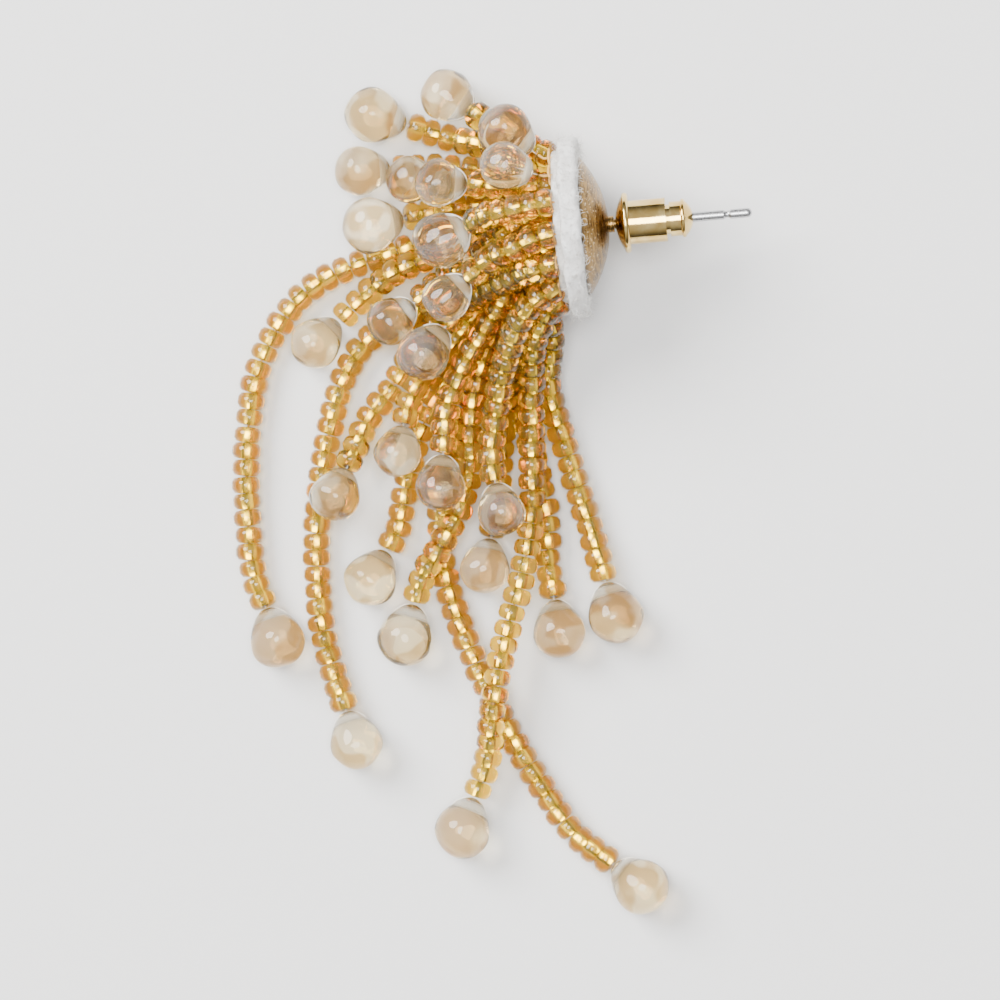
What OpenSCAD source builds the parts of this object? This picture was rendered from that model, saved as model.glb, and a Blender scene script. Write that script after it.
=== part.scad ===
// Tassel earring, lying on a table as it is put down.
// The ear post points along +X, the strands fan out along -X and -Y, and +Z is up.
// The origin is on the table, under the middle of the whole earring.

/* [Backing] */
// Diameter of the felt pad that the strands are sewn to
pad_d = 14; // [13:0.5:16]
// Thickness of the felt pad
pad_t = 1.5; // [1:0.1:2.5]
// Radius that rounds the pad's edge
pad_edge_r = 0.4; // [0.2:0.05:0.5]
// Thickness of the sewn layer of thread in front of the felt
sewn_t = 0.5; // [0.3:0.1:0.8]
// Width of felt left bare around the sewn layer
sewn_margin = 0.1; // [0.1:0.05:0.3]
// Glue line between two layers of the backing
glue_gap = 0.05; // [0.02:0.01:0.1]

/* [Cup] */
// Diameter of the domed metal cup at its rim
cup_d = 10.8; // [9:0.2:12]
// Height of the dome from its rim to its crown
cup_h = 1.9; // [1.4:0.1:2.4]
// Thickness of the cup's metal
cup_wall = 0.5; // [0.3:0.05:0.6]

/* [Ear post] */
// Diameter of the short neck soldered to the cup
neck_d = 1.3; // [1:0.1:1.6]
// Length of the neck beyond the crown
neck_len = 0.4; // [0.4:0.1:0.8]
// Diameter of the pin that goes through the ear
pin_d = 0.75; // [0.6:0.01:0.9]
// Length of the pin from the neck to its tip
pin_len = 10.7; // [10.5:0.1:12]
// Distance from the ring groove to the tip
groove_from_tip = 2.2; // [2.1:0.1:2.5]
// Width of the rounded ring groove
groove_w = 0.55; // [0.55:0.05:0.7]
// Depth of the ring groove
groove_depth = 0.12; // [0.08:0.01:0.15]

/* [Clutch] */
// Diameter of the collar that lies against the ear
collar_d = 4.7; // [4:0.1:5.5]
// Thickness of the collar's rounded rim
collar_t = 0.5; // [0.4:0.05:0.7]
// Height of the shallow dome on the collar's face
collar_dome_h = 0.6; // [0.3:0.05:0.8]
// Diameter of the barrel
barrel_d = 3.4; // [3:0.1:3.8]
// Length of the barrel
barrel_len = 2.85; // [2.5:0.05:3.2]
// Diameter of the waist between the barrel and the end cap
waist_d = 2.3; // [2.1:0.05:2.5]
// Length of the waist
waist_len = 0.3; // [0.2:0.05:0.5]
// Diameter of the end cap
end_d = 2.7; // [2.6:0.05:2.9]
// Length of the end cap with its dome
end_len = 1.8; // [1.6:0.05:2.2]
// Height of the end cap's dome
end_dome_h = 0.6; // [0.4:0.05:0.8]
// Diameter of the ring round the end cap
end_ring_d = 3; // [2.95:0.05:3.2]
// Thickness of that ring
end_ring_t = 0.35; // [0.25:0.05:0.5]
// Gap between the cup's neck and the collar
clutch_gap = 0.1; // [0.05:0.05:0.5]
// Clearance between the pin and the clutch's bore, on the radius
bore_clearance = 0.04; // [0.02:0.01:0.08]

/* [Strands] */
// Diameter of the strand's seed beads
bead_d = 2.2; // [2:0.05:2.3]
// Distance between two rings of strand roots
ring_gap = 2.3; // [2.25:0.05:2.4]
// Length of the straight stretch that leaves the pad
stub_len = 0.6; // [0.4:0.1:0.8]
// Share of its full width that a strand has where it is sewn on
root_share = 0.8; // [0.7:0.05:0.9]
// Distance from the pad at which a strand has its full width
spread_len = 8; // [5:0.5:10]
// Distance between two sections of a strand's tube
section_step = 4; // [3:0.5:6]
// Sides of a strand's tube
strand_sides = 8; // [8:1:10]

/* [Drops] */
// Length of a full-size glass drop
drop_len = 4.9; // [4.7:0.1:5.1]
// Distance from the drop's narrow end to the middle of its hole
hole_from_end = 0.95; // [0.9:0.05:1.1]
// Diameter of the cross hole
hole_d = 0.8; // [0.7:0.05:0.9]
// Radius that shapes the drop's narrow half
narrow_r = 1.7; // [1.6:0.05:1.8]
// Radius that shapes the drop's wide half
wide_r = 2.3; // [2.2:0.05:2.35]
// Gap between the last seed bead and the drop's narrow end
drop_gap = 0.15; // [0.15:0.05:0.4]

/* [Hidden] */
$fn = 64;
eps = 0.01;

// Where the post's axis at the back of the felt stands from the origin
post_x = 8.3;
post_y = 20.3;
post_z = pad_d / 2;

neck_x = glue_gap + cup_h;
pin_x = neck_x + neck_len;
tip_x = pin_x + pin_len;
clutch_x = pin_x + clutch_gap;
clutch_len = collar_dome_h + collar_t + barrel_len + waist_len + end_len;
bore_d = pin_d + 2 * bore_clearance;
sewn_x = -pad_t - glue_gap - sewn_t;
sewn_d = pad_d - 2 * sewn_margin;

// Rings of strand roots on the pad: how many roots and the angle of the first one
ring_roots = [15, 8, 3];
ring_turn = [0, 22.5, 90];
outer_ring_r = (pad_d - bead_d) / 2;

profile_steps = 16;
// Share of the drop's length, from its narrow end, at which it is widest
widest_at = 0.6;
sewn_sides = 40;

// Route of each strand. ring and slot say where it is sewn on, and size is its drop's share of drop_len.
// by way of holds the chosen points, and drop lies at is the middle of the glass drop's wide part.
// Points are in mm: x and y from the post's axis at the back of the felt, z from the table.
RING = 0;
SLOT = 1;
SIZE = 2;
WAY = 3;
LIES = 4;
strands = [
    // ring, slot, size, by way of, drop lies at
    [0, 0, 0.95, [[-4.4, 7, 6], [-6.6, 8.5, 4.6]], [-10.2, 11.4, 2.4]],
    [0, 1, 0.95, [], [-5.5, 7.9, 9.3]],
    [0, 2, 0.85, [], [-5.6, 5, 12.5]],
    [0, 3, 1, [[-5.2, 1.5, 12.3], [-7.4, 1.2, 11.4]], [-11.1, -0.3, 9.2]],
    [0, 4, 0.85, [[-5.3, -1.4, 12.2], [-7.4, -2.1, 11.1]], [-11, -4.8, 9.5]],
    [0, 5, 0.95, [[-5.2, -3.5, 10.5], [-7.6, -4.2, 8.5], [-10.3, -5.7, 6.1]], [-13.4, -8.9, 6.4]],
    [0, 6, 0.85, [[-4.4, -5.8, 9.8], [-6.8, -9.6, 7.1], [-8.1, -14, 5], [-8.8, -17.6, 4.8]],
        [-8.3, -21.7, 5.3]],
    [0, 7, 1, [[-4.2, -7.7, 6.9], [-5.2, -12, 4.3], [-5.7, -18, 3.2], [-6.1, -22, 3],
        [-6.9, -25.6, 3.1], [-9, -31.7, 3.3], [-10.4, -37, 3.4], [-11.3, -41.4, 2.2]],
        [-13.7, -46.4, 2.2]],
    [0, 8, 1, [[-3.4, -8.6, 3.6], [-4, -12, 2.1], [-3.2, -16.4, 1.2], [-1.9, -22.6, 1.1]],
        [-0.2, -30.6, 2.2]],
    [0, 9, 0.95, [[-4.8, -8, 1.8], [-5.8, -12, 1.1], [-5.6, -18, 1.1], [-5, -22, 1.1],
        [-5.2, -26, 1.1]], [-4.7, -31.5, 2.15]],
    [0, 10, 1, [[-6.5, -6.8, 1.1], [-9.2, -11.3, 1.1], [-12.2, -16, 1.1], [-13.3, -21, 1.1],
        [-13.4, -26, 1.1], [-12.2, -31.2, 1.1], [-9.4, -38.8, 1.1], [-7.2, -43.2, 1.1],
        [-4.9, -47.2, 1.1]], [0.2, -51.8, 2.25]],
    [0, 11, 1, [[-6, -0.3, 1.1], [-12, 0.1, 1.1], [-16.2, -0.8, 1.1], [-20.2, -1.9, 1.1],
        [-23, -3.5, 1.1], [-25.4, -6.3, 1.1], [-27, -9.5, 1.1], [-28, -14, 1.1], [-28.5, -20, 1.1],
        [-28.3, -25.4, 1.1]], [-26.8, -30.4, 2.25]],
    [0, 12, 1, [[-6, 2.2, 1.1], [-9.5, 2.5, 1.2], [-12.4, 2.2, 2]], [-17, 1.6, 3.6]],
    [0, 13, 0.9, [[-6, 4.7, 1.3], [-10, 5.6, 1.1], [-13.5, 5.9, 1.1]], [-17.6, 6, 2.05]],
    [0, 14, 1, [[-4, 6.2, 3.9], [-7, 7.1, 2.4], [-10.2, 8, 1.1]], [-16.2, 10.3, 2.25]],
    [1, 0, 0.85, [[-4.4, 3.4, 8.8], [-6.8, 3.7, 8.4]], [-11.1, 4.3, 7.5]],
    [1, 1, 0.85, [[-5, 0.5, 9.6], [-8.6, -1.8, 6.9], [-11.5, -3.3, 5.1]], [-15.9, -6.1, 4.3]],
    [1, 2, 0.9, [[-5.3, -3, 8.3], [-7.4, -6, 6.5], [-10, -9.4, 5.4], [-11.9, -13.2, 4.8]],
        [-12.9, -19.3, 5.2]],
    [1, 3, 0.9, [[-4.4, -5.1, 6.6], [-6.3, -8.6, 4.5], [-7.5, -13, 2.4], [-8.3, -17.5, 1.1],
        [-9, -21.6, 1.1]], [-10.2, -26.1, 2]],
    [1, 4, 1, [[-5.3, -5.1, 4.5], [-8, -7.9, 3.6], [-9.6, -11.4, 3.4], [-10.5, -15.4, 3],
        [-10.8, -18.4, 2.1], [-11.9, -21.4, 2.6], [-13.4, -23.8, 3.3], [-15.3, -26.6, 2.4]],
        [-16.9, -31, 2.2]],
    [1, 5, 0.95, [[-4.5, -1.8, 3], [-7.5, -3.2, 1.4], [-11.5, -4.8, 1.1], [-15.2, -5.8, 1.1],
        [-18.2, -7.5, 1.1], [-20.1, -10.2, 1.1], [-21.4, -13.7, 1.1], [-22.6, -18.4, 1.1],
        [-23.3, -23.4, 1.1], [-23.4, -29, 1.1], [-22.8, -33, 1.1]], [-21.3, -38.9, 2.1]],
    [1, 6, 0.9, [[-6, 0.9, 3.4], [-11, -0.9, 3.3], [-14.8, -2, 2.9], [-18, -3.9, 1.5]],
        [-22.1, -7.3, 2]],
    [1, 7, 0.85, [[-5.2, 3.8, 4.8], [-8, 4.2, 3.6], [-10.4, 4.5, 3.2]], [-13.6, 4.9, 4.1]],
    [2, 0, 0.85, [[-5.2, -1.4, 7.2], [-8.4, -5.2, 4.5], [-11.2, -8.1, 3.5], [-13.7, -10.4, 2.8],
        [-15.2, -13, 2.9]], [-16.1, -16.5, 4.3]],
    [2, 1, 0.95, [[-4.8, -2.3, 5.2], [-8.2, -5.7, 2.5], [-11.5, -10.3, 1.2], [-14.6, -15.2, 1.1],
        [-16, -19.4, 1.1], [-16.9, -22.6, 1.1]], [-19.3, -26.2, 2.15]],
    [2, 2, 0.9, [[-5, 0.2, 5.5], [-8.2, -2.2, 4.2], [-11.2, -5.3, 3.2], [-14.3, -8.3, 1.6],
        [-16.5, -11.3, 1.2], [-18.4, -13.5, 1.2], [-19.6, -15.8, 2.2]], [-21.3, -19.4, 4.1]],
];

function drop_name(i) = str("drop_", i < 9 ? "0" : "", i + 1);

function unit(v) = v / norm(v);
function smooth(x) = x <= 0 ? 0 : x >= 1 ? 1 : x * x * (3 - 2 * x);

// Place of a strand's root, from the ring and slot that it is sewn at
function root_r(ring) = outer_ring_r - ring * ring_gap;
function root_turn(s) = ring_turn[s[RING]] + 360 * s[SLOT] / ring_roots[s[RING]];
function root_at(s, x) = [
    x,
    root_r(s[RING]) * cos(root_turn(s)),
    post_z + root_r(s[RING]) * sin(root_turn(s))
];

// Way that a strand's last stretch and its drop point, from the last point before them
function stub_end(s) = root_at(s, sewn_x - stub_len);
function last_turn(s) = len(s[WAY]) == 0 ? stub_end(s) : s[WAY][len(s[WAY]) - 1];
function drop_way(s) = unit(s[LIES] - last_turn(s));

// A strand ends short of the drop, so that the drop's wide part lies where it should
function end_of(s) = s[LIES] - (drop_gap + widest_at * drop_len * s[SIZE]) * drop_way(s);
function route(s) = concat(
    [root_at(s, sewn_x + sewn_t / 2), stub_end(s)],
    s[WAY],
    [end_of(s)]
);

// Point on a smooth curve from b to c, at share t, that leaves along slope u and arrives along slope v
function curve_at(b, c, u, v, t) = (2 * t * t * t - 3 * t * t + 1) * b + (3 * t * t - 2 * t * t * t) * c
    + norm(c - b) * ((t * t * t - 2 * t * t + t) * u + (t * t * t - t * t) * v);

// Slope of the route at point i, where the nearer neighbour counts for more
function slope(p, i) = i == 0
    ? unit(p[1] - p[0])
    : i == len(p) - 1
        ? unit(p[i] - p[i - 1])
        : let (before = norm(p[i] - p[i - 1]), after = norm(p[i + 1] - p[i]))
            (unit(p[i + 1] - p[i]) * before + unit(p[i] - p[i - 1]) * after) / (before + after);
function span_sections(b, c) = max(1, round(norm(c - b) / section_step));
// A strand may lie on the table, but not in it
function on_table(p) = [p[0], p[1], max(p[2], bead_d / 2)];
function smooth_route(p) = concat(
    [
        for (i = [0 : len(p) - 2])
            let (n = span_sections(p[i], p[i + 1]))
                for (k = [0 : n - 1])
                    on_table(curve_at(p[i], p[i + 1], slope(p, i), slope(p, i + 1), k / n))
    ],
    [p[len(p) - 1]]
);

// Directions along a route, and a sideways vector carried along it without a twist
function directions(p) = [
    for (i = [0 : len(p) - 1]) unit(p[min(i + 1, len(p) - 1)] - p[max(i - 1, 0)])
];
function carried(ways, last, i = 0) = i == len(ways)
    ? []
    : let (side = unit(last - (last * ways[i]) * ways[i])) concat([side], carried(ways, side, i + 1));

// A strand's beads crowd together at the pad, so its tube is narrower there
function strand_r(x) = bead_d / 2 * (root_share + (1 - root_share) * smooth((sewn_x - x) / spread_len));

// A round strand swept along a list of points
module strand_tube(p, sides, first_side) {
    ways = directions(p);
    side = carried(ways, first_side);
    points = [
        for (i = [0 : len(p) - 1])
            for (k = [0 : sides - 1])
                let (turn = 360 * k / sides)
                    p[i] + strand_r(p[i][0]) * (cos(turn) * side[i] + sin(turn) * cross(ways[i], side[i]))
    ];
    last = (len(p) - 1) * sides;
    faces = concat(
        [[for (k = [0 : sides - 1]) k]],
        [
            for (i = [0 : len(p) - 2])
                for (k = [0 : sides - 1])
                    let (a = i * sides + k, b = i * sides + (k + 1) % sides) [a, a + sides, b + sides, b]
        ],
        [[for (k = [sides - 1 : -1 : 0]) last + k]]
    );
    polyhedron(points = points, faces = faces, convexity = 6);
}

// Frame of a drop: its middle is the hole, +Z runs to the wide end and +X along the hole
module at_drop(s) {
    k = s[SIZE];
    way = drop_way(s);
    hole_way = unit(cross(way, [0, 0, 1]));
    up_way = cross(way, hole_way);
    at = end_of(s) + (drop_gap + hole_from_end * k) * way;
    multmatrix([
        [hole_way[0], up_way[0], way[0], at[0]],
        [hole_way[1], up_way[1], way[1], at[1]],
        [hole_way[2], up_way[2], way[2], at[2]]
    ])
        children();
}

module in_place() {
    translate([post_x, post_y, 0]) children();
}

// Turns a shape made along Z to lie along the post, starting at x
module along_post(x) {
    translate([x, 0, post_z]) rotate([0, 90, 0]) children();
}

// Radius of the arc that is w wide and h high
function arc_r(w, h) = (w * w / 4 + h * h) / (2 * h);

module dome_shell() {
    dome_r = arc_r(cup_d, cup_h);
    intersection() {
        difference() {
            translate([0, 0, cup_h - dome_r]) sphere(r = dome_r);
            translate([0, 0, cup_h - dome_r]) sphere(r = dome_r - cup_wall);
        }
        cylinder(d = cup_d, h = cup_h);
    }
}

// Half outline of the pin, with a rounded tip and its ring groove
module pin_profile() {
    groove_r = arc_r(groove_w, groove_depth);
    difference() {
        union() {
            square([pin_d / 2, pin_len - pin_d / 2]);
            translate([0, pin_len - pin_d / 2])
                intersection() {
                    circle(d = pin_d);
                    square(pin_d);
                }
        }
        translate([pin_d / 2 + groove_r - groove_depth, pin_len - groove_from_tip + groove_w / 2])
            circle(r = groove_r);
    }
}

module stud_back() {
    color([0.62, 0.49, 0.3])
        in_place() {
            along_post(glue_gap)
                union() {
                    dome_shell();
                    translate([0, 0, cup_h - cup_wall / 2])
                        cylinder(d = neck_d, h = neck_len + cup_wall / 2);
                    translate([0, 0, cup_h + neck_len - eps]) rotate_extrude() pin_profile();
                }
        }
}

// Half outline of a disc with a rounded edge
module rounded_profile(d, t) {
    square([d / 2 - t / 2, t]);
    translate([d / 2 - t / 2, t / 2]) circle(d = t);
}

// Half outline of a dome that is d wide and h high and has its crown at the origin
module dome_profile(d, h) {
    intersection() {
        translate([0, arc_r(d, h)]) circle(r = arc_r(d, h));
        square([d / 2, h + eps]);
    }
}

// The collar has a shallow dome towards the ear, behind it a rounded rim
module collar_profile() {
    dome_profile(collar_d - collar_t, collar_dome_h);
    translate([0, collar_dome_h]) rounded_profile(collar_d, collar_t);
}

// The end cap is a short barrel with a ring round it and a dome towards the tip
module end_profile() {
    straight = end_len - end_dome_h;
    square([end_d / 2, straight]);
    translate([0, straight - end_ring_t]) rounded_profile(end_ring_d, end_ring_t);
    translate([0, end_len]) mirror([0, 1]) dome_profile(end_d, end_dome_h);
}

module clutch() {
    barrel_end = collar_dome_h + collar_t + barrel_len;
    color([0.87, 0.74, 0.45])
        in_place() {
            along_post(clutch_x)
                difference() {
                    union() {
                        rotate_extrude() collar_profile();
                        translate([0, 0, collar_dome_h]) {
                            cylinder(d = barrel_d, h = collar_t + barrel_len);
                            cylinder(d = waist_d, h = collar_t + barrel_len + waist_len + eps);
                        }
                        translate([0, 0, barrel_end + waist_len]) rotate_extrude() end_profile();
                    }
                    translate([0, 0, -eps]) cylinder(d = bore_d, h = clutch_len + 2 * eps);
                }
        }
}

module felt_pad() {
    color([0.95, 0.94, 0.92])
        in_place() {
            along_post(-pad_t)
                rotate_extrude() {
                    square([pad_d / 2 - pad_edge_r, pad_t]);
                    translate([0, pad_edge_r]) square([pad_d / 2, pad_t - 2 * pad_edge_r]);
                    for (y = [pad_edge_r, pad_t - pad_edge_r])
                        translate([pad_d / 2 - pad_edge_r, y]) circle(r = pad_edge_r);
                }
        }
}

module bead_tassel() {
    color([0.8, 0.6, 0.2])
        in_place() {
            union() {
                along_post(sewn_x) cylinder(d = sewn_d, h = sewn_t, $fn = sewn_sides);
                for (s = strands)
                    strand_tube(smooth_route(route(s)), strand_sides, [0, 1, 0]);
            }
        }
}

// Radius of a full-size drop at share t of its length
function drop_radius(t) = sqrt(1 - pow(1 - 2 * t, 2)) * (narrow_r + (wide_r - narrow_r) * smooth(t / 0.75));

module drop_profile() {
    polygon([
        for (i = [0 : profile_steps])
            let (t = (1 - cos(180 * i / profile_steps)) / 2) [drop_radius(t), t * drop_len - hole_from_end]
    ]);
}

module glass_drop(i) {
    s = strands[i];
    color([0.93, 0.86, 0.72])
        in_place() {
            at_drop(s)
                scale(s[SIZE])
                    difference() {
                        rotate_extrude() drop_profile();
                        rotate([0, 90, 0]) cylinder(d = hole_d, h = 4 * wide_r, center = true);
                    }
        }
}

stud_back();
clutch();
felt_pad();
bead_tassel();
for (i = [0 : len(strands) - 1])
    glass_drop(i);
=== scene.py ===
# Tassel earring on a pale table: strands of lined seed beads, glass drops, felt pad and ear stud.
import math
import random

import bmesh
import bpy
import numpy as np
from mathutils import Matrix, Vector, noise


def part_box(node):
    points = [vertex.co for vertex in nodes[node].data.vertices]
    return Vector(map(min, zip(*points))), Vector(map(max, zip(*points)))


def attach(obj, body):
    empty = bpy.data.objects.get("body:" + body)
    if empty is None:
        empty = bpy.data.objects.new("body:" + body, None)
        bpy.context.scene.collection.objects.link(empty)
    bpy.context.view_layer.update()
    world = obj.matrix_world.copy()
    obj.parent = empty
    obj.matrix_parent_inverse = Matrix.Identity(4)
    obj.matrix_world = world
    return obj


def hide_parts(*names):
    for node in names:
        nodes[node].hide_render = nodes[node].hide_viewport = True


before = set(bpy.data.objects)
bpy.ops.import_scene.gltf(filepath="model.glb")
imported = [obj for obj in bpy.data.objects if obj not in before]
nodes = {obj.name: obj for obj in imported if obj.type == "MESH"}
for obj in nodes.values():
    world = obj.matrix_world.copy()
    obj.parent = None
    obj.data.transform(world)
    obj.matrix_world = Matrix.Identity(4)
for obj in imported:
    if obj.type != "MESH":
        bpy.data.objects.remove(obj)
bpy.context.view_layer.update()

mm = 0.001
scene = bpy.context.scene
waveSeed = 12
noise.seed_set(waveSeed)  # the waves are the same in every run

# The post's frame: x from the back of the felt, y from the post's axis, z from the table
feltLow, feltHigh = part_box("felt_pad")
post = Vector((feltHigh.x, (feltLow.y + feltHigh.y) / 2, 0))
postHeight = (feltLow.z + feltHigh.z) / 2
padRadius = (feltHigh.z - feltLow.z) / 2


# Small tools

class Wire:  # an output socket that can be used in sums

    def __init__(self, graph, socket):
        self.graph = graph
        self.socket = socket

    def maths(self, operation, first, second):
        return self.graph.add(self.graph.mathNode, {"operation": operation}, {0: first, 1: second})

    def __add__(self, other):
        return self.maths("ADD", self, other)

    def __radd__(self, other):
        return self.maths("ADD", other, self)

    def __sub__(self, other):
        return self.maths("SUBTRACT", self, other)

    def __rsub__(self, other):
        return self.maths("SUBTRACT", other, self)

    def __mul__(self, other):
        return self.maths("MULTIPLY", self, other)

    def __rmul__(self, other):
        return self.maths("MULTIPLY", other, self)


class Graph:  # builds a node tree, shader or geometry
    mathNode = "ShaderNodeMath"

    def __init__(self, tree):
        self.tree = tree

    def add(self, kind, settings=None, values=None, out=0):
        node = self.tree.nodes.new(kind)
        for name, value in (settings or {}).items():
            setattr(node, name, value)
        for name, value in (values or {}).items():
            self.feed(node.inputs[name], value)
        return Wire(self, node.outputs[out])

    def feed(self, socket, value):
        if isinstance(value, Wire):
            self.tree.links.new(value.socket, socket)
        else:
            socket.default_value = value

    def ramp(self, wire, low, high):  # 0 below low, 1 above high, smooth between
        return self.add("ShaderNodeMapRange", {"interpolation_type": "SMOOTHSTEP"},
                        {"Value": wire, "From Min": low, "From Max": high})

    def mix(self, share, first, second):
        node = self.tree.nodes.new("ShaderNodeMix")
        node.data_type = "RGBA"
        for name, value in (("Factor_Float", share), ("A_Color", first), ("B_Color", second)):
            self.feed(next(s for s in node.inputs if s.identifier == name), value)
        return Wire(self, next(s for s in node.outputs if s.identifier == "Result_Color"))


def rgb(r, g, b):
    return (r, g, b, 1.0)


def newMaterial(name):
    material = bpy.data.materials.new(name)
    material.use_nodes = True
    material.node_tree.nodes.clear()
    return material, Graph(material.node_tree)


def objectPlace(graph):
    return graph.add("ShaderNodeTexCoord", out="Object")


def cloud(graph, place, scale, detail=2.0, roughness=0.5):
    return graph.add("ShaderNodeTexNoise", {}, {"Vector": place, "Scale": scale, "Detail": detail,
                                                "Roughness": roughness}, out="Fac")


def bump(graph, height, strength, distance):
    return graph.add("ShaderNodeBump", {}, {"Height": height, "Strength": strength, "Distance": distance})


def finishMaterial(graph, surface, volume=None):
    output = graph.tree.nodes.new("ShaderNodeOutputMaterial")
    graph.tree.links.new(surface.socket, output.inputs["Surface"])
    if volume:
        graph.tree.links.new(volume.socket, output.inputs["Volume"])


def newObject(name, mesh):
    made = bpy.data.objects.new(name, mesh)
    scene.collection.objects.link(made)
    return made


def smoothShade(mesh, sharpAngle=None):
    mesh.polygons.foreach_set("use_smooth", [True] * len(mesh.polygons))
    if sharpAngle:
        mesh.set_sharp_from_angle(angle=math.radians(sharpAngle))
    mesh.update()


# A ring of points for each (radius, z) of a profile, closed at the axis or into a ring
def lathe(bm, profile, sides, closed=False):
    rings = []
    for r, z in profile:
        if r < 1e-9:
            rings.append([bm.verts.new((0, 0, z))])
        else:
            rings.append([bm.verts.new((r * math.cos(2 * math.pi * k / sides),
                                        r * math.sin(2 * math.pi * k / sides), z)) for k in range(sides)])
    pairs = list(zip(rings, rings[1:] + rings[:1])) if closed else list(zip(rings, rings[1:]))
    bands = []
    for low, high in pairs:
        band = []
        for k in range(sides):
            j = (k + 1) % sides
            if len(low) == 1:
                corners = (low[0], high[j], high[k])
            elif len(high) == 1:
                corners = (low[k], low[j], high[0])
            else:
                corners = (low[k], low[j], high[j], high[k])
            band.append(bm.faces.new(corners))
        bands.append(band)
    return bands


def meshFrom(bm, name):
    mesh = bpy.data.meshes.new(name)
    bm.to_mesh(mesh)
    bm.free()
    return mesh


# Runs a node tree on a host object and returns the result as a plain mesh object
def grown(name, host, tree, inputs):
    modifier = host.modifiers.new("grow", "NODES")
    modifier.node_group = tree
    for item in tree.interface.items_tree:
        if item.item_type == "SOCKET" and item.in_out == "INPUT" and item.name in inputs:
            modifier[item.identifier] = inputs[item.name]
    bpy.context.view_layer.update()
    evaluated = host.evaluated_get(bpy.context.evaluated_depsgraph_get())
    mesh = bpy.data.meshes.new_from_object(evaluated)
    mesh.name = name
    bpy.data.objects.remove(host)
    return newObject(name, mesh)


def newTree(name, sockets):
    tree = bpy.data.node_groups.new(name, "GeometryNodeTree")
    tree.interface.new_socket("Geometry", in_out="INPUT", socket_type="NodeSocketGeometry")
    for label, kind, value in sockets:
        socket = tree.interface.new_socket(label, in_out="INPUT", socket_type=kind)
        if value is not None:
            socket.default_value = value
    tree.interface.new_socket("Geometry", in_out="OUTPUT", socket_type="NodeSocketGeometry")
    graph = Graph(tree)
    entry = tree.nodes.new("NodeGroupInput")
    wires = {s.name: Wire(graph, s) for s in entry.outputs if s.name}
    return tree, graph, wires


def finishTree(graph, geometry):
    output = graph.tree.nodes.new("NodeGroupOutput")
    graph.tree.links.new(geometry.socket, output.inputs[0])


# Camera and light

view = {
    "standX": 19.43 * mm,  # the camera stands over this place, from the post
    "standY": -15.91 * mm,
    "height": 450 * mm,
    "aimX": -8.4 * mm,
    "aimY": -20.6 * mm,
    "aimZ": 4 * mm,
    "roll": 4.7,
    "width": 78 * mm,  # width of table that the picture takes in
}


def placeCamera():
    spot = post + Vector((view["standX"], view["standY"], view["height"]))
    aim = post + Vector((view["aimX"], view["aimY"], view["aimZ"]))
    away = (spot - aim).normalized()
    roll = math.radians(view["roll"])
    up = Vector((math.sin(roll), math.cos(roll), 0))
    right = up.cross(away).normalized()
    up = away.cross(right)
    data = bpy.data.cameras.new("camera")
    data.lens = data.sensor_width * (spot - aim).length / view["width"]
    data.clip_start = 10 * mm
    camera = bpy.data.objects.new("camera", data)
    camera.matrix_world = Matrix.Translation(spot) @ Matrix((right, up, away)).transposed().to_4x4()
    scene.collection.objects.link(camera)
    scene.camera = camera


lights = {
    "key": {"from": (-0.5, 0.46, 0.62), "size": 0.58, "power": 19, "colour": (1, 0.985, 0.96)},
    "softbox": {"from": (0.02, 0.04, 0.9), "size": 0.46, "power": 9.5, "colour": (1, 1, 1)},
    "horizon": (0.1, 0.1, 0.1),
    "zenith": (0.8, 0.8, 0.8),
    "horizonEnds": 0.1,  # height on a sphere of radius 1
    "zenithStarts": 0.95,
    "floorHalf": 1.5,
    "floorColours": ((0.86, 0.86, 0.86), (0.89, 0.89, 0.89)),
}


def placeLights():
    for name in ("key", "softbox"):
        facts = lights[name]
        data = bpy.data.lights.new(name, "AREA")
        data.shape = "DISK"
        data.size = facts["size"]
        data.energy = facts["power"]
        data.color = facts["colour"]
        lamp = bpy.data.objects.new(name, data)
        lamp.location = facts["from"]
        lamp.rotation_euler = Vector(facts["from"]).to_track_quat("Z", "Y").to_euler()
        scene.collection.objects.link(lamp)
    world = bpy.data.worlds.new("studio")
    world.use_nodes = True
    world.node_tree.nodes.clear()
    g = Graph(world.node_tree)
    direction = g.add("ShaderNodeTexCoord", out="Generated")
    height = g.add("ShaderNodeSeparateXYZ", {}, {"Vector": direction}, out="Z")
    sky = g.mix(g.ramp(height, lights["horizonEnds"], lights["zenithStarts"]),
                rgb(*lights["horizon"]), rgb(*lights["zenith"]))
    output = world.node_tree.nodes.new("ShaderNodeOutputWorld")
    g.tree.links.new(g.add("ShaderNodeBackground", {}, {"Color": sky}).socket, output.inputs["Surface"])
    scene.world = world


def placeFloor():
    material, g = newMaterial("whitePaper")
    grain = cloud(g, objectPlace(g), 900.0, 3.0)
    finishMaterial(g, g.add("ShaderNodeBsdfPrincipled", {}, {
        "Base Color": g.mix(grain, *[rgb(*colour) for colour in lights["floorColours"]]),
        "Roughness": 0.7,
    }))
    bm = bmesh.new()
    bmesh.ops.create_grid(bm, x_segments=8, y_segments=8, size=lights["floorHalf"])
    floor = newObject("floor", meshFrom(bm, "floor"))
    floor.data.materials.append(material)


placeCamera()
placeLights()
placeFloor()
print("stage set")


# Strands

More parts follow.
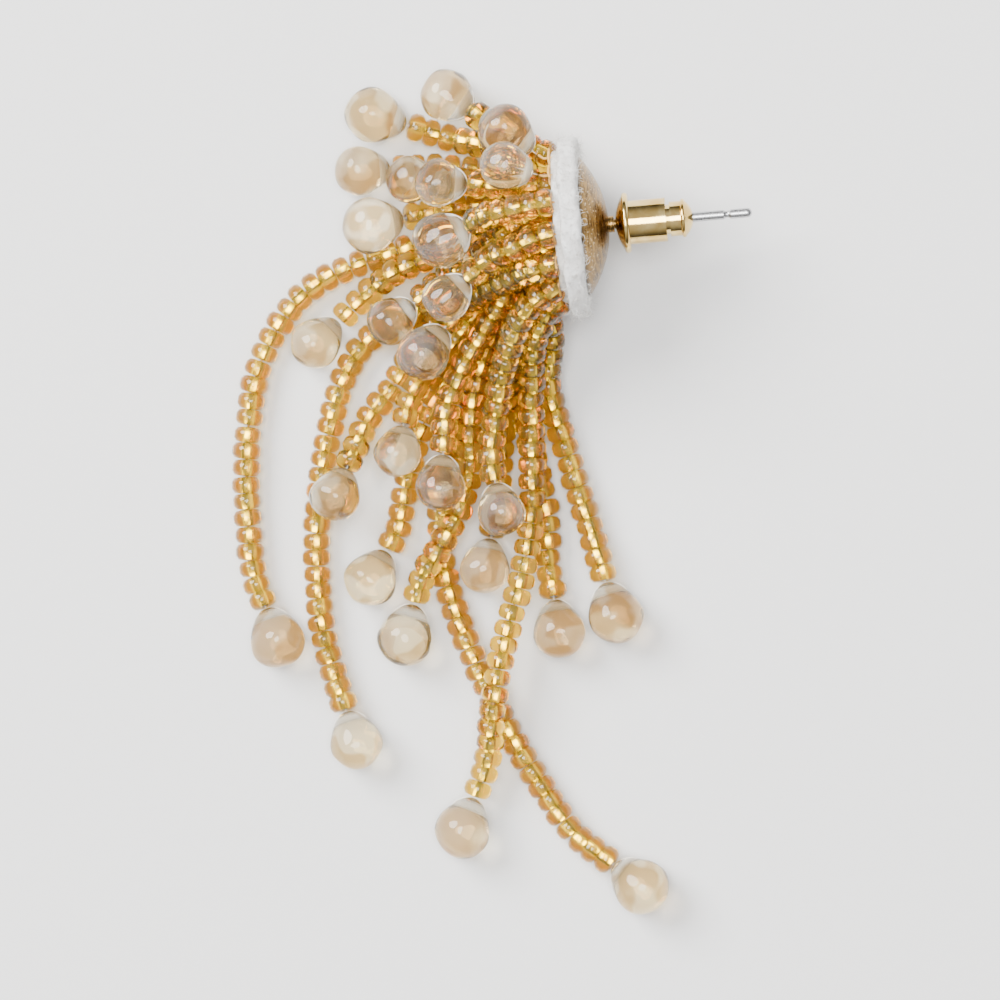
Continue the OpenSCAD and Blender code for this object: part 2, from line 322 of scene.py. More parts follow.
strandSizes = {
    "beadWidth": 2.2,
    "beadLength": 1.3,  # thread that one bead takes up
    "firstBead": 0.4,  # of a bead's length, from the sewn layer
    "padThickness": 1.5,
    "glue": 0.05,
    "sewnThickness": 0.5,
    "stub": 0.6,
    "outerRing": 5.9,
    "ringGap": 2.3,
    "dropLength": 4.9,
    "dropGap": 0.15,
    "dropWidest": 0.6,
    "holeFromEnd": 0.95,
}
ringRoots = (15, 8, 3)
ringTurns = (0, 22.5, 90)

# Each strand in mm from the post: ring, slot, drop size, chosen points on its way, middle of its drop
strands = [
    (0, 0, 0.95, [(-4.4, 7, 6), (-6.6, 8.5, 4.6)], (-10.2, 11.4, 2.4)),
    (0, 1, 0.95, [], (-5.5, 7.9, 9.3)),
    (0, 2, 0.85, [], (-5.6, 5, 12.5)),
    (0, 3, 1, [(-5.2, 1.5, 12.3), (-7.4, 1.2, 11.4)], (-11.1, -0.3, 9.2)),
    (0, 4, 0.85, [(-5.3, -1.4, 12.2), (-7.4, -2.1, 11.1)], (-11, -4.8, 9.5)),
    (0, 5, 0.95, [(-5.2, -3.5, 10.5), (-7.6, -4.2, 8.5), (-10.3, -5.7, 6.1)], (-13.4, -8.9, 6.4)),
    (0, 6, 0.85, [(-4.4, -5.8, 9.8), (-6.8, -9.6, 7.1), (-8.1, -14, 5), (-8.8, -17.6, 4.8)],
     (-8.3, -21.7, 5.3)),
    (0, 7, 1, [(-4.2, -7.7, 6.9), (-5.2, -12, 4.3), (-5.7, -18, 3.2), (-6.1, -22, 3), (-6.9, -25.6, 3.1),
               (-9, -31.7, 3.3), (-10.4, -37, 3.4), (-11.3, -41.4, 2.2)], (-13.7, -46.4, 2.2)),
    (0, 8, 1, [(-3.4, -8.6, 3.6), (-4, -12, 2.1), (-3.2, -16.4, 1.2), (-1.9, -22.6, 1.1)],
     (-0.2, -30.6, 2.2)),
    (0, 9, 0.95, [(-4.8, -8, 1.8), (-5.8, -12, 1.1), (-5.6, -18, 1.1), (-5, -22, 1.1), (-5.2, -26, 1.1)],
     (-4.7, -31.5, 2.15)),
    (0, 10, 1, [(-6.5, -6.8, 1.1), (-9.2, -11.3, 1.1), (-12.2, -16, 1.1), (-13.3, -21, 1.1),
                (-13.4, -26, 1.1), (-12.2, -31.2, 1.1), (-9.4, -38.8, 1.1), (-7.2, -43.2, 1.1),
                (-4.9, -47.2, 1.1)], (0.2, -51.8, 2.25)),
    (0, 11, 1, [(-6, -0.3, 1.1), (-12, 0.1, 1.1), (-16.2, -0.8, 1.1), (-20.2, -1.9, 1.1), (-23, -3.5, 1.1),
                (-25.4, -6.3, 1.1), (-27, -9.5, 1.1), (-28, -14, 1.1), (-28.5, -20, 1.1),
                (-28.3, -25.4, 1.1)], (-26.8, -30.4, 2.25)),
    (0, 12, 1, [(-6, 2.2, 1.1), (-9.5, 2.5, 1.2), (-12.4, 2.2, 2)], (-17, 1.6, 3.6)),
    (0, 13, 0.9, [(-6, 4.7, 1.3), (-10, 5.6, 1.1), (-13.5, 5.9, 1.1)], (-17.6, 6, 2.05)),
    (0, 14, 1, [(-4, 6.2, 3.9), (-7, 7.1, 2.4), (-10.2, 8, 1.1)], (-16.2, 10.3, 2.25)),
    (1, 0, 0.85, [(-4.4, 3.4, 8.8), (-6.8, 3.7, 8.4)], (-11.1, 4.3, 7.5)),
    (1, 1, 0.85, [(-5, 0.5, 9.6), (-8.6, -1.8, 6.9), (-11.5, -3.3, 5.1)], (-15.9, -6.1, 4.3)),
    (1, 2, 0.9, [(-5.3, -3, 8.3), (-7.4, -6, 6.5), (-10, -9.4, 5.4), (-11.9, -13.2, 4.8)],
     (-12.9, -19.3, 5.2)),
    (1, 3, 0.9, [(-4.4, -5.1, 6.6), (-6.3, -8.6, 4.5), (-7.5, -13, 2.4), (-8.3, -17.5, 1.1),
                 (-9, -21.6, 1.1)], (-10.2, -26.1, 2)),
    (1, 4, 1, [(-5.3, -5.1, 4.5), (-8, -7.9, 3.6), (-9.6, -11.4, 3.4), (-10.5, -15.4, 3),
               (-10.8, -18.4, 2.1), (-11.9, -21.4, 2.6), (-13.4, -23.8, 3.3), (-15.3, -26.6, 2.4)],
     (-16.9, -31, 2.2)),
    (1, 5, 0.95, [(-4.5, -1.8, 3), (-7.5, -3.2, 1.4), (-11.5, -4.8, 1.1), (-15.2, -5.8, 1.1),
                  (-18.2, -7.5, 1.1), (-20.1, -10.2, 1.1), (-21.4, -13.7, 1.1), (-22.6, -18.4, 1.1),
                  (-23.3, -23.4, 1.1), (-23.4, -29, 1.1), (-22.8, -33, 1.1)], (-21.3, -38.9, 2.1)),
    (1, 6, 0.9, [(-6, 0.9, 3.4), (-11, -0.9, 3.3), (-14.8, -2, 2.9), (-18, -3.9, 1.5)], (-22.1, -7.3, 2)),
    (1, 7, 0.85, [(-5.2, 3.8, 4.8), (-8, 4.2, 3.6), (-10.4, 4.5, 3.2)], (-13.6, 4.9, 4.1)),
    (2, 0, 0.85, [(-5.2, -1.4, 7.2), (-8.4, -5.2, 4.5), (-11.2, -8.1, 3.5), (-13.7, -10.4, 2.8),
                  (-15.2, -13, 2.9)], (-16.1, -16.5, 4.3)),
    (2, 1, 0.95, [(-4.8, -2.3, 5.2), (-8.2, -5.7, 2.5), (-11.5, -10.3, 1.2), (-14.6, -15.2, 1.1),
                  (-16, -19.4, 1.1), (-16.9, -22.6, 1.1)], (-19.3, -26.2, 2.15)),
    (2, 2, 0.9, [(-5, 0.2, 5.5), (-8.2, -2.2, 4.2), (-11.2, -5.3, 3.2), (-14.3, -8.3, 1.6),
                 (-16.5, -11.3, 1.2), (-18.4, -13.5, 1.2), (-19.6, -15.8, 2.2)], (-21.3, -19.4, 4.1)),
]

beadRadius = strandSizes["beadWidth"] / 2
beadLength = strandSizes["beadLength"]
sewnFront = -strandSizes["padThickness"] - strandSizes["glue"] - strandSizes["sewnThickness"]


def unit(v):
    return v / np.linalg.norm(v)


def rootAt(ring, slot, x):
    r = strandSizes["outerRing"] - ring * strandSizes["ringGap"]
    turn = math.radians(ringTurns[ring] + 360 * slot / ringRoots[ring])
    return np.array([x, r * math.cos(turn), postHeight / mm + r * math.sin(turn)])


# Where a strand runs, and the frame of its drop: the hole's middle, the hole's way, up and the long axis
def strandFacts(row):
    ring, slot, size, byWay, dropAt = row
    points = [rootAt(ring, slot, sewnFront + strandSizes["sewnThickness"] / 2),
              rootAt(ring, slot, sewnFront - strandSizes["stub"])]
    points += [np.array(p, float) for p in byWay]
    way = unit(np.array(dropAt, float) - points[-1])
    reach = strandSizes["dropGap"] + strandSizes["dropWidest"] * strandSizes["dropLength"] * size
    end = np.array(dropAt, float) - reach * way
    points.append(end)
    holeWay = unit(np.cross(way, (0, 0, 1)))
    holeAt = end + (strandSizes["dropGap"] + strandSizes["holeFromEnd"] * size) * way
    return {"points": points, "end": end, "way": way, "holeWay": holeWay, "upWay": np.cross(way, holeWay),
            "holeAt": holeAt, "size": size}


def slopeAt(points, i):
    if i == 0:
        return unit(points[1] - points[0])
    if i == len(points) - 1:
        return unit(points[i] - points[i - 1])
    before = np.linalg.norm(points[i] - points[i - 1])
    after = np.linalg.norm(points[i + 1] - points[i])
    ahead, behind = unit(points[i + 1] - points[i]), unit(points[i] - points[i - 1])
    return (ahead * before + behind * after) / (before + after)


def smoothRoute(points, step=0.1):
    route = []
    for i in range(len(points) - 1):
        b, c = points[i], points[i + 1]
        u, v = slopeAt(points, i), slopeAt(points, i + 1)
        span = np.linalg.norm(c - b)
        count = max(1, round(span / step))
        for t in np.arange(count) / count:
            route.append((2 * t**3 - 3 * t * t + 1) * b + (3 * t * t - 2 * t**3) * c
                         + span * ((t**3 - 2 * t * t + t) * u + (t**3 - t * t) * v))
    route.append(points[-1])
    route = np.array(route)
    route[:, 2] = np.maximum(route[:, 2], beadRadius)
    return route


# Bead middles along a route, from the felt to the drop
def beadPlaces(route):
    steps = np.linalg.norm(np.diff(route, axis=0), axis=1)
    along = np.concatenate([[0], np.cumsum(steps)])
    first = strandSizes["sewnThickness"] / 2 + beadLength * strandSizes["firstBead"]
    last = along[-1] - beadLength / 2
    wanted = np.linspace(first, last, round((last - first) / beadLength) + 1)
    return np.stack([np.interp(wanted, along, route[:, k]) for k in range(3)], axis=1)


facts = [strandFacts(row) for row in strands]
beadRows = [beadPlaces(smoothRoute(f["points"])) for f in facts]

dropSizes = {
    "narrow": 1.7,  # mm, the radius that shapes the narrow half, then the wide half
    "wide": 2.3,
    "widens": 0.75,  # share of the length over which it widens
    "hole": 0.75,  # mm wide
    "holeSides": 24,
    "drillLength": 8,
    "sides": 40,
    "rings": 30,
    "waviness": 0.16,
    "waveScale": 0.45,
    "roundNeck": 0.6,  # mm past the hole without waves, which grow over the next stretch
    "wavesGrow": 1.5,
    "amber": (0.6, 0.46, 0.28),
    "clear": (1.0, 1.0, 0.98),
}


def dropRadius(t):  # t runs from the narrow end to the wide one
    eased = np.clip(t / dropSizes["widens"], 0, 1)
    eased = eased * eased * (3 - 2 * eased)
    shaping = dropSizes["narrow"] + (dropSizes["wide"] - dropSizes["narrow"]) * eased
    return np.sqrt(np.maximum(1 - (1 - 2 * t) ** 2, 0)) * shaping


settle = {
    "rounds": 120,
    "closest": 1.95,  # mm between the middles of beads on two strands
    "push": 0.2,
    "stiffness": 0.9,
    "stride": 0.3,  # mm, the most in one round
    "furthest": 0.7,  # no bead moves further than this from its place on the route
    "dropSteps": 12,  # middles along a drop that push beads away
}
tiny = 1e-9  # keeps a division by a length from failing


# How far points are pushed by middles that are closer than they may be
def pushed(points, middles, reach, counted):
    gap = points[:, None] - middles[None]
    distance = np.linalg.norm(gap, axis=2) + tiny
    push = np.where(counted, np.maximum(reach - distance, 0), 0)
    return (gap / distance[..., None] * push[..., None] * settle["push"]).sum(axis=1)


# Crowded beads push each other and the drops' surfaces apart, while each strand keeps its length
def settleBeads(rows):
    place = np.concatenate(rows)
    start = place.copy()
    strand = np.concatenate([[i] * len(r) for i, r in enumerate(rows)])
    order = np.arange(len(place))
    first = np.searchsorted(strand, np.arange(len(rows)))
    last = np.append(first[1:], len(place)) - 1
    held = np.zeros(len(place), bool)
    held[first] = True
    held[last] = True
    apart = (strand[:, None] != strand[None]) | (np.abs(order[:, None] - order[None]) > 2)
    shares = np.linspace(0.03, 0.97, settle["dropSteps"])
    dropAxis = np.concatenate([f["holeAt"] + np.outer((shares * strandSizes["dropLength"]
                               - strandSizes["holeFromEnd"]) * f["size"], f["way"]) for f in facts])
    dropReach = np.concatenate([dropRadius(shares) * f["size"] for f in facts]) + beadRadius
    owner = np.repeat(np.arange(len(facts)), len(shares))
    nearDrop = np.isin(order, np.concatenate([last, last - 1]))
    own = (strand[:, None] == owner[None]) & nearDrop[:, None]
    for _ in range(settle["rounds"]):
        move = pushed(place, place, settle["closest"], apart)
        move += pushed(place, dropAxis, dropReach[None], ~own)
        inner = (strand[1:-1] == strand[:-2]) & (strand[1:-1] == strand[2:])
        middle = (place[:-2] + place[2:]) / 2 - place[1:-1]
        rest = (start[:-2] + start[2:]) / 2 - start[1:-1]
        move[1:-1] += np.where(inner[:, None], (middle - rest) * settle["stiffness"], 0)
        move[held] = 0
        place += np.clip(move, -settle["stride"], settle["stride"])
        linked = strand[1:] == strand[:-1]
        gap = place[1:] - place[:-1]
        length = np.linalg.norm(gap, axis=1) + tiny
        wanted = np.linalg.norm(start[1:] - start[:-1], axis=1)
        pull = gap * ((length - wanted) / length * 0.5 * linked)[:, None]
        place[:-1] += np.where(held[:-1, None], 0, pull)
        place[1:] -= np.where(held[1:, None], 0, pull)
        away = place - start
        moved = np.linalg.norm(away, axis=1) + tiny
        place = start + away * np.minimum(1, settle["furthest"] / moved)[:, None]
        place[:, 2] = np.maximum(place[:, 2], beadRadius)
    moved = np.linalg.norm(place - start, axis=1)
    print("settled beads:", len(place), "furthest moved", round(float(moved.max()), 2), "mm")
    return np.split(place, first[1:])


beadRows = settleBeads(beadRows)


def fromPost(point):  # mm from the post to metres in the shared frame
    return post + Vector(point) * mm


# Seed beads

seedBead = {
    "sides": 12,
    "holeHalf": 0.28,  # mm, the hole is square
    "holeReach": 0.58,
    "profile": ((0.55, -0.62), (0.9, -0.56), (1.1, -0.26), (1.1, 0.26), (0.9, 0.56), (0.55, 0.62)),
    "sizeSpread": 0.04,
    "tilt": 4,  # degrees
    "roll": 26,  # degrees either way from a hole that lies flat
    "drift": 0.04,  # mm off the thread's line
    "seed": 11,
    "deepAmber": (0.99, 0.81, 0.18),
    "lightAmber": (1.0, 0.88, 0.28),
    "silver": (1.0, 1.0, 1.0),
    "wornSilver": (0.56, 0.52, 0.43),
}


def beadGlass():
    material, g = newMaterial("amberGlass")
    place = objectPlace(g)
    tone = cloud(g, place, 380.0, 0.0)
    surface = g.add("ShaderNodeBsdfPrincipled", {}, {
        "Base Color": g.mix(g.ramp(tone, 0.35, 0.65), rgb(*seedBead["deepAmber"]),
                            rgb(*seedBead["lightAmber"])),
        "Roughness": 0.05,
        "IOR": 1.5,
        "Specular IOR Level": 0.2,
        "Transmission Weight": 0.96,
    })
    depth = g.add("ShaderNodeVolumeAbsorption", {}, {"Color": rgb(0.968, 0.858, 0.0), "Density": 1850.0})
    finishMaterial(g, surface, depth)
    return material


def beadLining():
    material, g = newMaterial("silverLining")
    place = objectPlace(g)
    worn = cloud(g, place, 1300.0, 3.0)
    surface = g.add("ShaderNodeBsdfPrincipled", {}, {
        "Base Color": g.mix(g.ramp(worn, 0.5, 0.72), rgb(*seedBead["silver"]),
                            rgb(*seedBead["wornSilver"])),
        "Metallic": 1.0,
        "Roughness": g.ramp(worn, 0.3, 0.8) * 0.12 + 0.18,
        "Normal": bump(g, worn, 0.5, 0.06 * mm),
    })
    finishMaterial(g, surface)
    return material


def seedBeadObject():
    bm = bmesh.new()
    isLining = bm.faces.layers.bool.new("lining")
    half, reach = seedBead["holeHalf"], seedBead["holeReach"]
    profile = [(half, reach), (half, -reach)] + list(seedBead["profile"])
    bands = lathe(bm, [(r * mm, z * mm) for r, z in profile], seedBead["sides"], closed=True)
    for face in bm.faces:
        face.smooth = True
    for face in bands[0]:  # the wall of the hole
        face[isLining] = True
        face.smooth = False
        for vert in face.verts:  # pulled out to a square
            turn = math.atan2(vert.co.y, vert.co.x)
            longest = max(abs(math.cos(turn)), abs(math.sin(turn)))
            vert.co.x = math.cos(turn) / longest * half * mm
            vert.co.y = math.sin(turn) / longest * half * mm
    for edge in bm.edges:
        sides = [face[isLining] for face in edge.link_faces]
        edge.smooth = sides[0] == sides[1]
    return newObject("oneSeedBead", meshFrom(bm, "oneSeedBead"))


def beadTree():
    tree, g, given = newTree("beadsOnStrands", [
        ("Bead", "NodeSocketObject", None),
        ("Size Spread", "NodeSocketFloat", 0.05),
        ("Tilt", "NodeSocketFloat", 0.1),
        ("Roll", "NodeSocketFloat", 0.4),
        ("Drift", "NodeSocketFloat", 0.0),
        ("Seed", "NodeSocketInt", 1),
        ("Glass", "NodeSocketMaterial", None),
        ("Lining", "NodeSocketMaterial", None),
    ])
    curve = g.add("GeometryNodeMeshToCurve", {}, {"Mesh": given["Geometry"]})
    curve = g.add("GeometryNodeSetCurveNormal", {"mode": "Z_UP"}, {"Curve": curve})
    points = g.add("GeometryNodeCurveToPoints", {"mode": "EVALUATED"}, {"Curve": curve}, out="Points")
    facing = Wire(g, points.socket.node.outputs["Rotation"])
    drift = g.add("FunctionNodeRandomValue", {"data_type": "FLOAT_VECTOR"}, {
        0: g.add("ShaderNodeCombineXYZ", {}, {k: 0 - given["Drift"] for k in range(3)}),
        1: g.add("ShaderNodeCombineXYZ", {}, {k: given["Drift"] for k in range(3)}),
        "Seed": given["Seed"] + 2})
    points = g.add("GeometryNodeSetPosition", {}, {"Geometry": points, "Offset": drift})
    bead = g.add("GeometryNodeObjectInfo", {}, {"Object": given["Bead"]}, out="Geometry")
    size = g.add("FunctionNodeRandomValue", {"data_type": "FLOAT"},
                 {2: 1 - given["Size Spread"], 3: 1 + given["Size Spread"], "Seed": given["Seed"]}, out=1)
    placed = g.add("GeometryNodeInstanceOnPoints", {},
                   {"Points": points, "Instance": bead, "Rotation": facing, "Scale": size})
    tilt, roll = given["Tilt"], given["Roll"]
    lean = g.add("FunctionNodeRandomValue", {"data_type": "FLOAT_VECTOR"}, {
        0: g.add("ShaderNodeCombineXYZ", {}, {0: 0 - tilt, 1: 0 - tilt, 2: 0 - roll}),
        1: g.add("ShaderNodeCombineXYZ", {}, {0: tilt, 1: tilt, 2: roll}),
        "Seed": given["Seed"] + 1})
    leaning = g.add("GeometryNodeRotateInstances", {}, {"Instances": placed, "Rotation": lean})
    real = g.add("GeometryNodeRealizeInstances", {}, {"Geometry": leaning})
    glassy = g.add("GeometryNodeSetMaterial", {}, {"Geometry": real, "Material": given["Glass"]})
    isLining = g.add("GeometryNodeInputNamedAttribute", {"data_type": "BOOLEAN"}, {"Name": "lining"})
    lined = g.add("GeometryNodeSetMaterial", {},
                  {"Geometry": glassy, "Selection": isLining, "Material": given["Lining"]})
    finishTree(g, lined)
    return tree


def strandHost(name):  # an open chain of edges for each strand, through its bead middles
    mesh = bpy.data.meshes.new(name)
    points, edges = [], []
    for row in beadRows:
        start = len(points)
        points += [fromPost(p) for p in row]
        edges += [(start + k, start + k + 1) for k in range(len(row) - 1)]
    mesh.from_pydata(points, edges, [])
    return newObject(name, mesh)


def makeSeedBeads():
    bead = seedBeadObject()
    beads = grown("seed_beads", strandHost("strandHost"), beadTree(), {
        "Bead": bead, "Size Spread": seedBead["sizeSpread"], "Tilt": math.radians(seedBead["tilt"]),
        "Roll": math.radians(seedBead["roll"]), "Drift": seedBead["drift"] * mm,
        "Seed": seedBead["seed"], "Glass": beadGlass(), "Lining": beadLining()})
    bpy.data.objects.remove(bead)
    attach(beads, "earring")
    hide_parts("bead_tassel")
    print("seed beads:", len(beads.data.polygons), "faces")


makeSeedBeads()


# Glass drops

def dropGlass():
    material, g = newMaterial("champagneGlass")
    place = objectPlace(g)
    flow = cloud(g, place, 340.0, 1.5)
    surface = g.add("ShaderNodeBsdfPrincipled", {}, {
        "Base Color": g.mix(g.ramp(flow, 0.45, 0.53), rgb(*dropSizes["amber"]),
                            rgb(*dropSizes["clear"])),
        "Roughness": 0.03,
        "IOR": 1.47,
        "Transmission Weight": 0.92,
        "Normal": bump(g, flow, 0.6, 0.4 * mm),
    })
    depth = g.add("ShaderNodeVolumeAbsorption", {}, {"Color": rgb(0.93, 0.68, 0.0), "Density": 110.0})
    finishMaterial(g, surface, depth)
    return material


def drilledGlass():  # the wall of a drilled hole is frosted
    material, g = newMaterial("drilledGlass")
    grain = cloud(g, objectPlace(g), 4000.0, 2.0)
    surface = g.add("ShaderNodeBsdfPrincipled", {}, {
        "Base Color": rgb(0.97, 0.95, 0.91),
        "Roughness": 0.5,
        "IOR": 1.47,
        "Transmission Weight": 0.35,
        "Normal": bump(g, grain, 0.5, 0.05 * mm),
    })
    finishMaterial(g, surface)
    return material


def dropPlacing(f):
    turn = Matrix((f["holeWay"], f["upWay"], f["way"])).transposed().to_4x4()
    return Matrix.Translation(fromPost(f["holeAt"])) @ turn @ Matrix.Scale(f["size"] * mm, 4)


# Body of a drop in mm, with its long axis along z and the hole's middle at the origin
def dropBody(i):
    shares = [(1 - math.cos(math.pi * k / dropSizes["rings"])) / 2 for k in range(dropSizes["rings"] + 1)]
    profile = [(float(dropRadius(np.array(t))), t * strandSizes["dropLength"] - strandSizes["holeFromEnd"])
               for t in shares]
    bm = bmesh.new()
    lathe(bm, profile, dropSizes["sides"])
    offset = Vector((13.1 * i, 7.7 * i, 0))  # gives each drop its own waves
    for vert in bm.verts:
        wave = noise.noise_vector(vert.co * dropSizes["waveScale"] + offset)
        fade = max(0.0, min(1.0, (vert.co.z - dropSizes["roundNeck"]) / dropSizes["wavesGrow"]))
        vert.co += wave * dropSizes["waviness"] * fade
    return meshFrom(bm, "drop")


def makeDrop(i, f, materials):
    drop = newObject("glass_drop_%02d" % (i + 1), dropBody(i))
    bm = bmesh.new()
    across = Matrix.Rotation(math.pi / 2, 4, "Y")
    holeRadius = dropSizes["hole"] / 2
    bmesh.ops.create_cone(bm, cap_ends=True, segments=dropSizes["holeSides"], radius1=holeRadius,
                          radius2=holeRadius, depth=dropSizes["drillLength"], matrix=across)
    drill = newObject("drill", meshFrom(bm, "drill"))
    cut = drop.modifiers.new("hole", "BOOLEAN")
    cut.operation = "DIFFERENCE"
    cut.solver = "EXACT"
    cut.object = drill
    bpy.context.view_layer.update()
    mesh = bpy.data.meshes.new_from_object(drop.evaluated_get(bpy.context.evaluated_depsgraph_get()))
    drop.modifiers.clear()
    drop.data = mesh
    bpy.data.objects.remove(drill)
    for material in materials:
        mesh.materials.append(material)
    for face in mesh.polygons:  # the hole's wall is frosted
        spots = [mesh.vertices[v].co for v in face.vertices]
        face.material_index = int(all(math.hypot(p.y, p.z) < holeRadius * 1.02 for p in spots))
    mesh.transform(dropPlacing(f))
    smoothShade(mesh, 60)
    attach(drop, "earring")
    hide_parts("drop_%02d" % (i + 1))


def makeDrops():
    materials = (dropGlass(), drilledGlass())
    for i, f in enumerate(facts):
        makeDrop(i, f, materials)
    print("glass drops:", len(facts))


makeDrops()

# Felt

felt = {
    "sides": 96,
    "edge": 0.4,  # mm, radius that rounds the pad's edge
    "waviness": 0.16,
    "waveScale": 0.9,
    "fineScale": 2.7,
    "fineShare": 0.4,
    "fibres": 9e6,  # on a square metre
    "fibreLength": 0.75,
    "fibreRadius": 0.022,
    "fibreTaper": 0.6,
    "fibreLean": 1.25,  # radians
    "bareReach": 5.8,  # mm from the middle of the back, where the cup covers it
    "seed": 5,
    "lowest": 0.02,  # mm above the table, where its fibres lie flat
}


def feltMaterial():
    material, g = newMaterial("whiteFelt")
    place = objectPlace(g)
    clumps = cloud(g, place, 700.0, 4.0, 0.65)
    # The pits noise paints shade into the felt: it darkens its pits grey-brown, and it also feeds the bump
    pitsWithPaintedShade = cloud(g, place, 2600.0, 3.0, 0.6)
    shade = g.mix(g.ramp(clumps, 0.35, 0.7), rgb(0.7, 0.685, 0.66), rgb(0.88, 0.875, 0.86))
    surface = g.add("ShaderNodeBsdfPrincipled", {}, {
        "Base Color": g.mix(g.ramp(pitsWithPaintedShade, 0.52, 0.7) * 0.7, shade, rgb(0.5, 0.47, 0.43)),
        "Roughness": 0.95,
        "Sheen Weight": 0.3,
        "Normal": bump(g, clumps + pitsWithPaintedShade, 0.7, 0.15 * mm),
    })
    finishMaterial(g, surface)
    return material


def fibreObject():
    bm = bmesh.new()
    sections, sides = 5, 3
    rings = []
    for i in range(sections):
        t = i / (sections - 1)
        middle = Vector((0.25 * math.sin(2.2 * t), 0.1 * math.sin(5 * t), t * (1 - 0.25 * t)))
        middle *= felt["fibreLength"]
        radius = felt["fibreRadius"] * (1 - felt["fibreTaper"] * t)
        rings.append([bm.verts.new((middle + Vector((math.cos(2 * math.pi * k / sides),
                      math.sin(2 * math.pi * k / sides), 0)) * radius) * mm) for k in range(sides)])
    for low, high in zip(rings, rings[1:]):
        for k in range(sides):
            j = (k + 1) % sides
            bm.faces.new((low[k], low[j], high[j], high[k]))
    bm.faces.new(reversed(rings[0]))
    bm.faces.new(rings[-1])
    return newObject("oneFibre", meshFrom(bm, "oneFibre"))


def fuzzTree():
    tree, g, given = newTree("fuzz", [
        ("Fibre", "NodeSocketObject", None),
        ("Density", "NodeSocketFloat", 1.0),
        ("Lean", "NodeSocketFloat", 1.0),
        ("Seed", "NodeSocketInt", 1),
        ("Material", "NodeSocketMaterial", None),
    ])
    isBare = g.add("GeometryNodeInputNamedAttribute", {"data_type": "BOOLEAN"}, {"Name": "bare"})
    scatter = g.add("GeometryNodeDistributePointsOnFaces", {}, {
        "Mesh": given["Geometry"], "Selection": 1 - isBare, "Density": given["Density"],
        "Seed": given["Seed"]}, out="Points")
    fibre = g.add("GeometryNodeObjectInfo", {}, {"Object": given["Fibre"]}, out="Geometry")
    size = g.add("FunctionNodeRandomValue", {"data_type": "FLOAT"},
                 {2: 0.5, 3: 1.15, "Seed": given["Seed"]}, out=1)
    standing = g.add("GeometryNodeInstanceOnPoints", {}, {
        "Points": scatter, "Instance": fibre,
        "Rotation": Wire(g, scatter.socket.node.outputs["Rotation"]), "Scale": size})
    lean = g.add("FunctionNodeRandomValue", {"data_type": "FLOAT_VECTOR"}, {
        0: g.add("ShaderNodeCombineXYZ", {}, {0: 0 - given["Lean"], 1: 0 - given["Lean"], 2: 0.0}),
        1: g.add("ShaderNodeCombineXYZ", {}, {0: given["Lean"], 1: given["Lean"], 2: 6.28}),
        "Seed": given["Seed"] + 1})
    leaning = g.add("GeometryNodeRotateInstances", {}, {"Instances": standing, "Rotation": lean})
    real = g.add("GeometryNodeRealizeInstances", {}, {"Geometry": leaning})
    joined = g.tree.nodes.new("GeometryNodeJoinGeometry")
    g.tree.links.new(given["Geometry"].socket, joined.inputs[0])
    g.tree.links.new(real.socket, joined.inputs[0])
    done = g.add("GeometryNodeSetMaterial", {},
                 {"Geometry": Wire(g, joined.outputs[0]), "Material": given["Material"]})
    finishTree(g, done)
    return tree


# Half outline of a disc with a rounded edge, closed at the axis
def discProfile(radius, thickness, edge, steps=5):
    rings = [radius * k / 8 for k in range(8)]
    profile = [(r, 0.0) for r in rings if r < radius - edge]
    for base, turn in ((edge, 270), (thickness - edge, 0)):
        for k in range(steps + 1):
            angle = math.radians(turn + 90 * k / steps)
            profile.append((radius - edge + edge * math.cos(angle), base + edge * math.sin(angle)))
    profile += [(r, thickness) for r in reversed(rings) if r < radius - edge]
    return profile


def alongPost(x):  # turns a shape made along z to lie along the post, starting at x mm
    return Matrix.Translation(fromPost((x, 0, postHeight / mm))) @ Matrix.Rotation(math.pi / 2, 4, "Y")


def makeFelt():
    bm = bmesh.new()
    profile = discProfile(padRadius / mm, strandSizes["padThickness"], felt["edge"])
    lathe(bm, profile, felt["sides"])
    isBare = bm.faces.layers.bool.new("bare")  # no fibres under the cup
    for face in bm.faces:
        middle = face.calc_center_median()
        onBack = middle.z > strandSizes["padThickness"] - 0.01
        face[isBare] = onBack and math.hypot(middle.x, middle.y) < felt["bareReach"]
    for vert in bm.verts:
        fine = noise.noise_vector(vert.co * felt["fineScale"]) * felt["fineShare"]
        vert.co += (noise.noise_vector(vert.co * felt["waveScale"]) + fine) * felt["waviness"]
    bm.transform(alongPost(-strandSizes["padThickness"]) @ Matrix.Scale(mm, 4))
    for face in bm.faces:
        face.smooth = True
    host = newObject("feltHost", meshFrom(bm, "feltHost"))
    fibre = fibreObject()
    pad = grown("felt", host, fuzzTree(), {
        "Fibre": fibre, "Density": felt["fibres"], "Lean": felt["fibreLean"], "Seed": felt["seed"],
        "Material": feltMaterial()})
    bpy.data.objects.remove(fibre)
    for vert in pad.data.vertices:
        vert.co.z = max(vert.co.z, felt["lowest"] * mm)
    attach(pad, "earring")
    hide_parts("felt_pad")
    print("felt:", len(pad.data.polygons), "faces")


makeFelt()


# Thread

thread = {
    "radius": 0.1,  # mm
    "loopRadius": 0.045,
    "sides": 6,
    "loopSteps": 8,
    "stitches": 3,  # round each root
    "stitchSpread": 0.5,  # mm
    "stitchShift": 0.55,
    "stitchHeight": 0.12,
    "stitchTurn": 0.5,  # radians that a stitch may turn either way
    "seed": 3,
}


def threadMaterial(name, deep, light):
    material, g = newMaterial(name)
    place = objectPlace(g)
    twist = cloud(g, place, 3500.0, 2.0)
    tone = cloud(g, place, 300.0, 1.0)
    surface = g.add("ShaderNodeBsdfPrincipled", {}, {
        "Base Color": g.mix(g.ramp(tone, 0.35, 0.65), deep, light),
        "Roughness": 0.6,
        "Normal": bump(g, twist, 0.5, 0.04 * mm),
    })
    finishMaterial(g, surface)
    return material


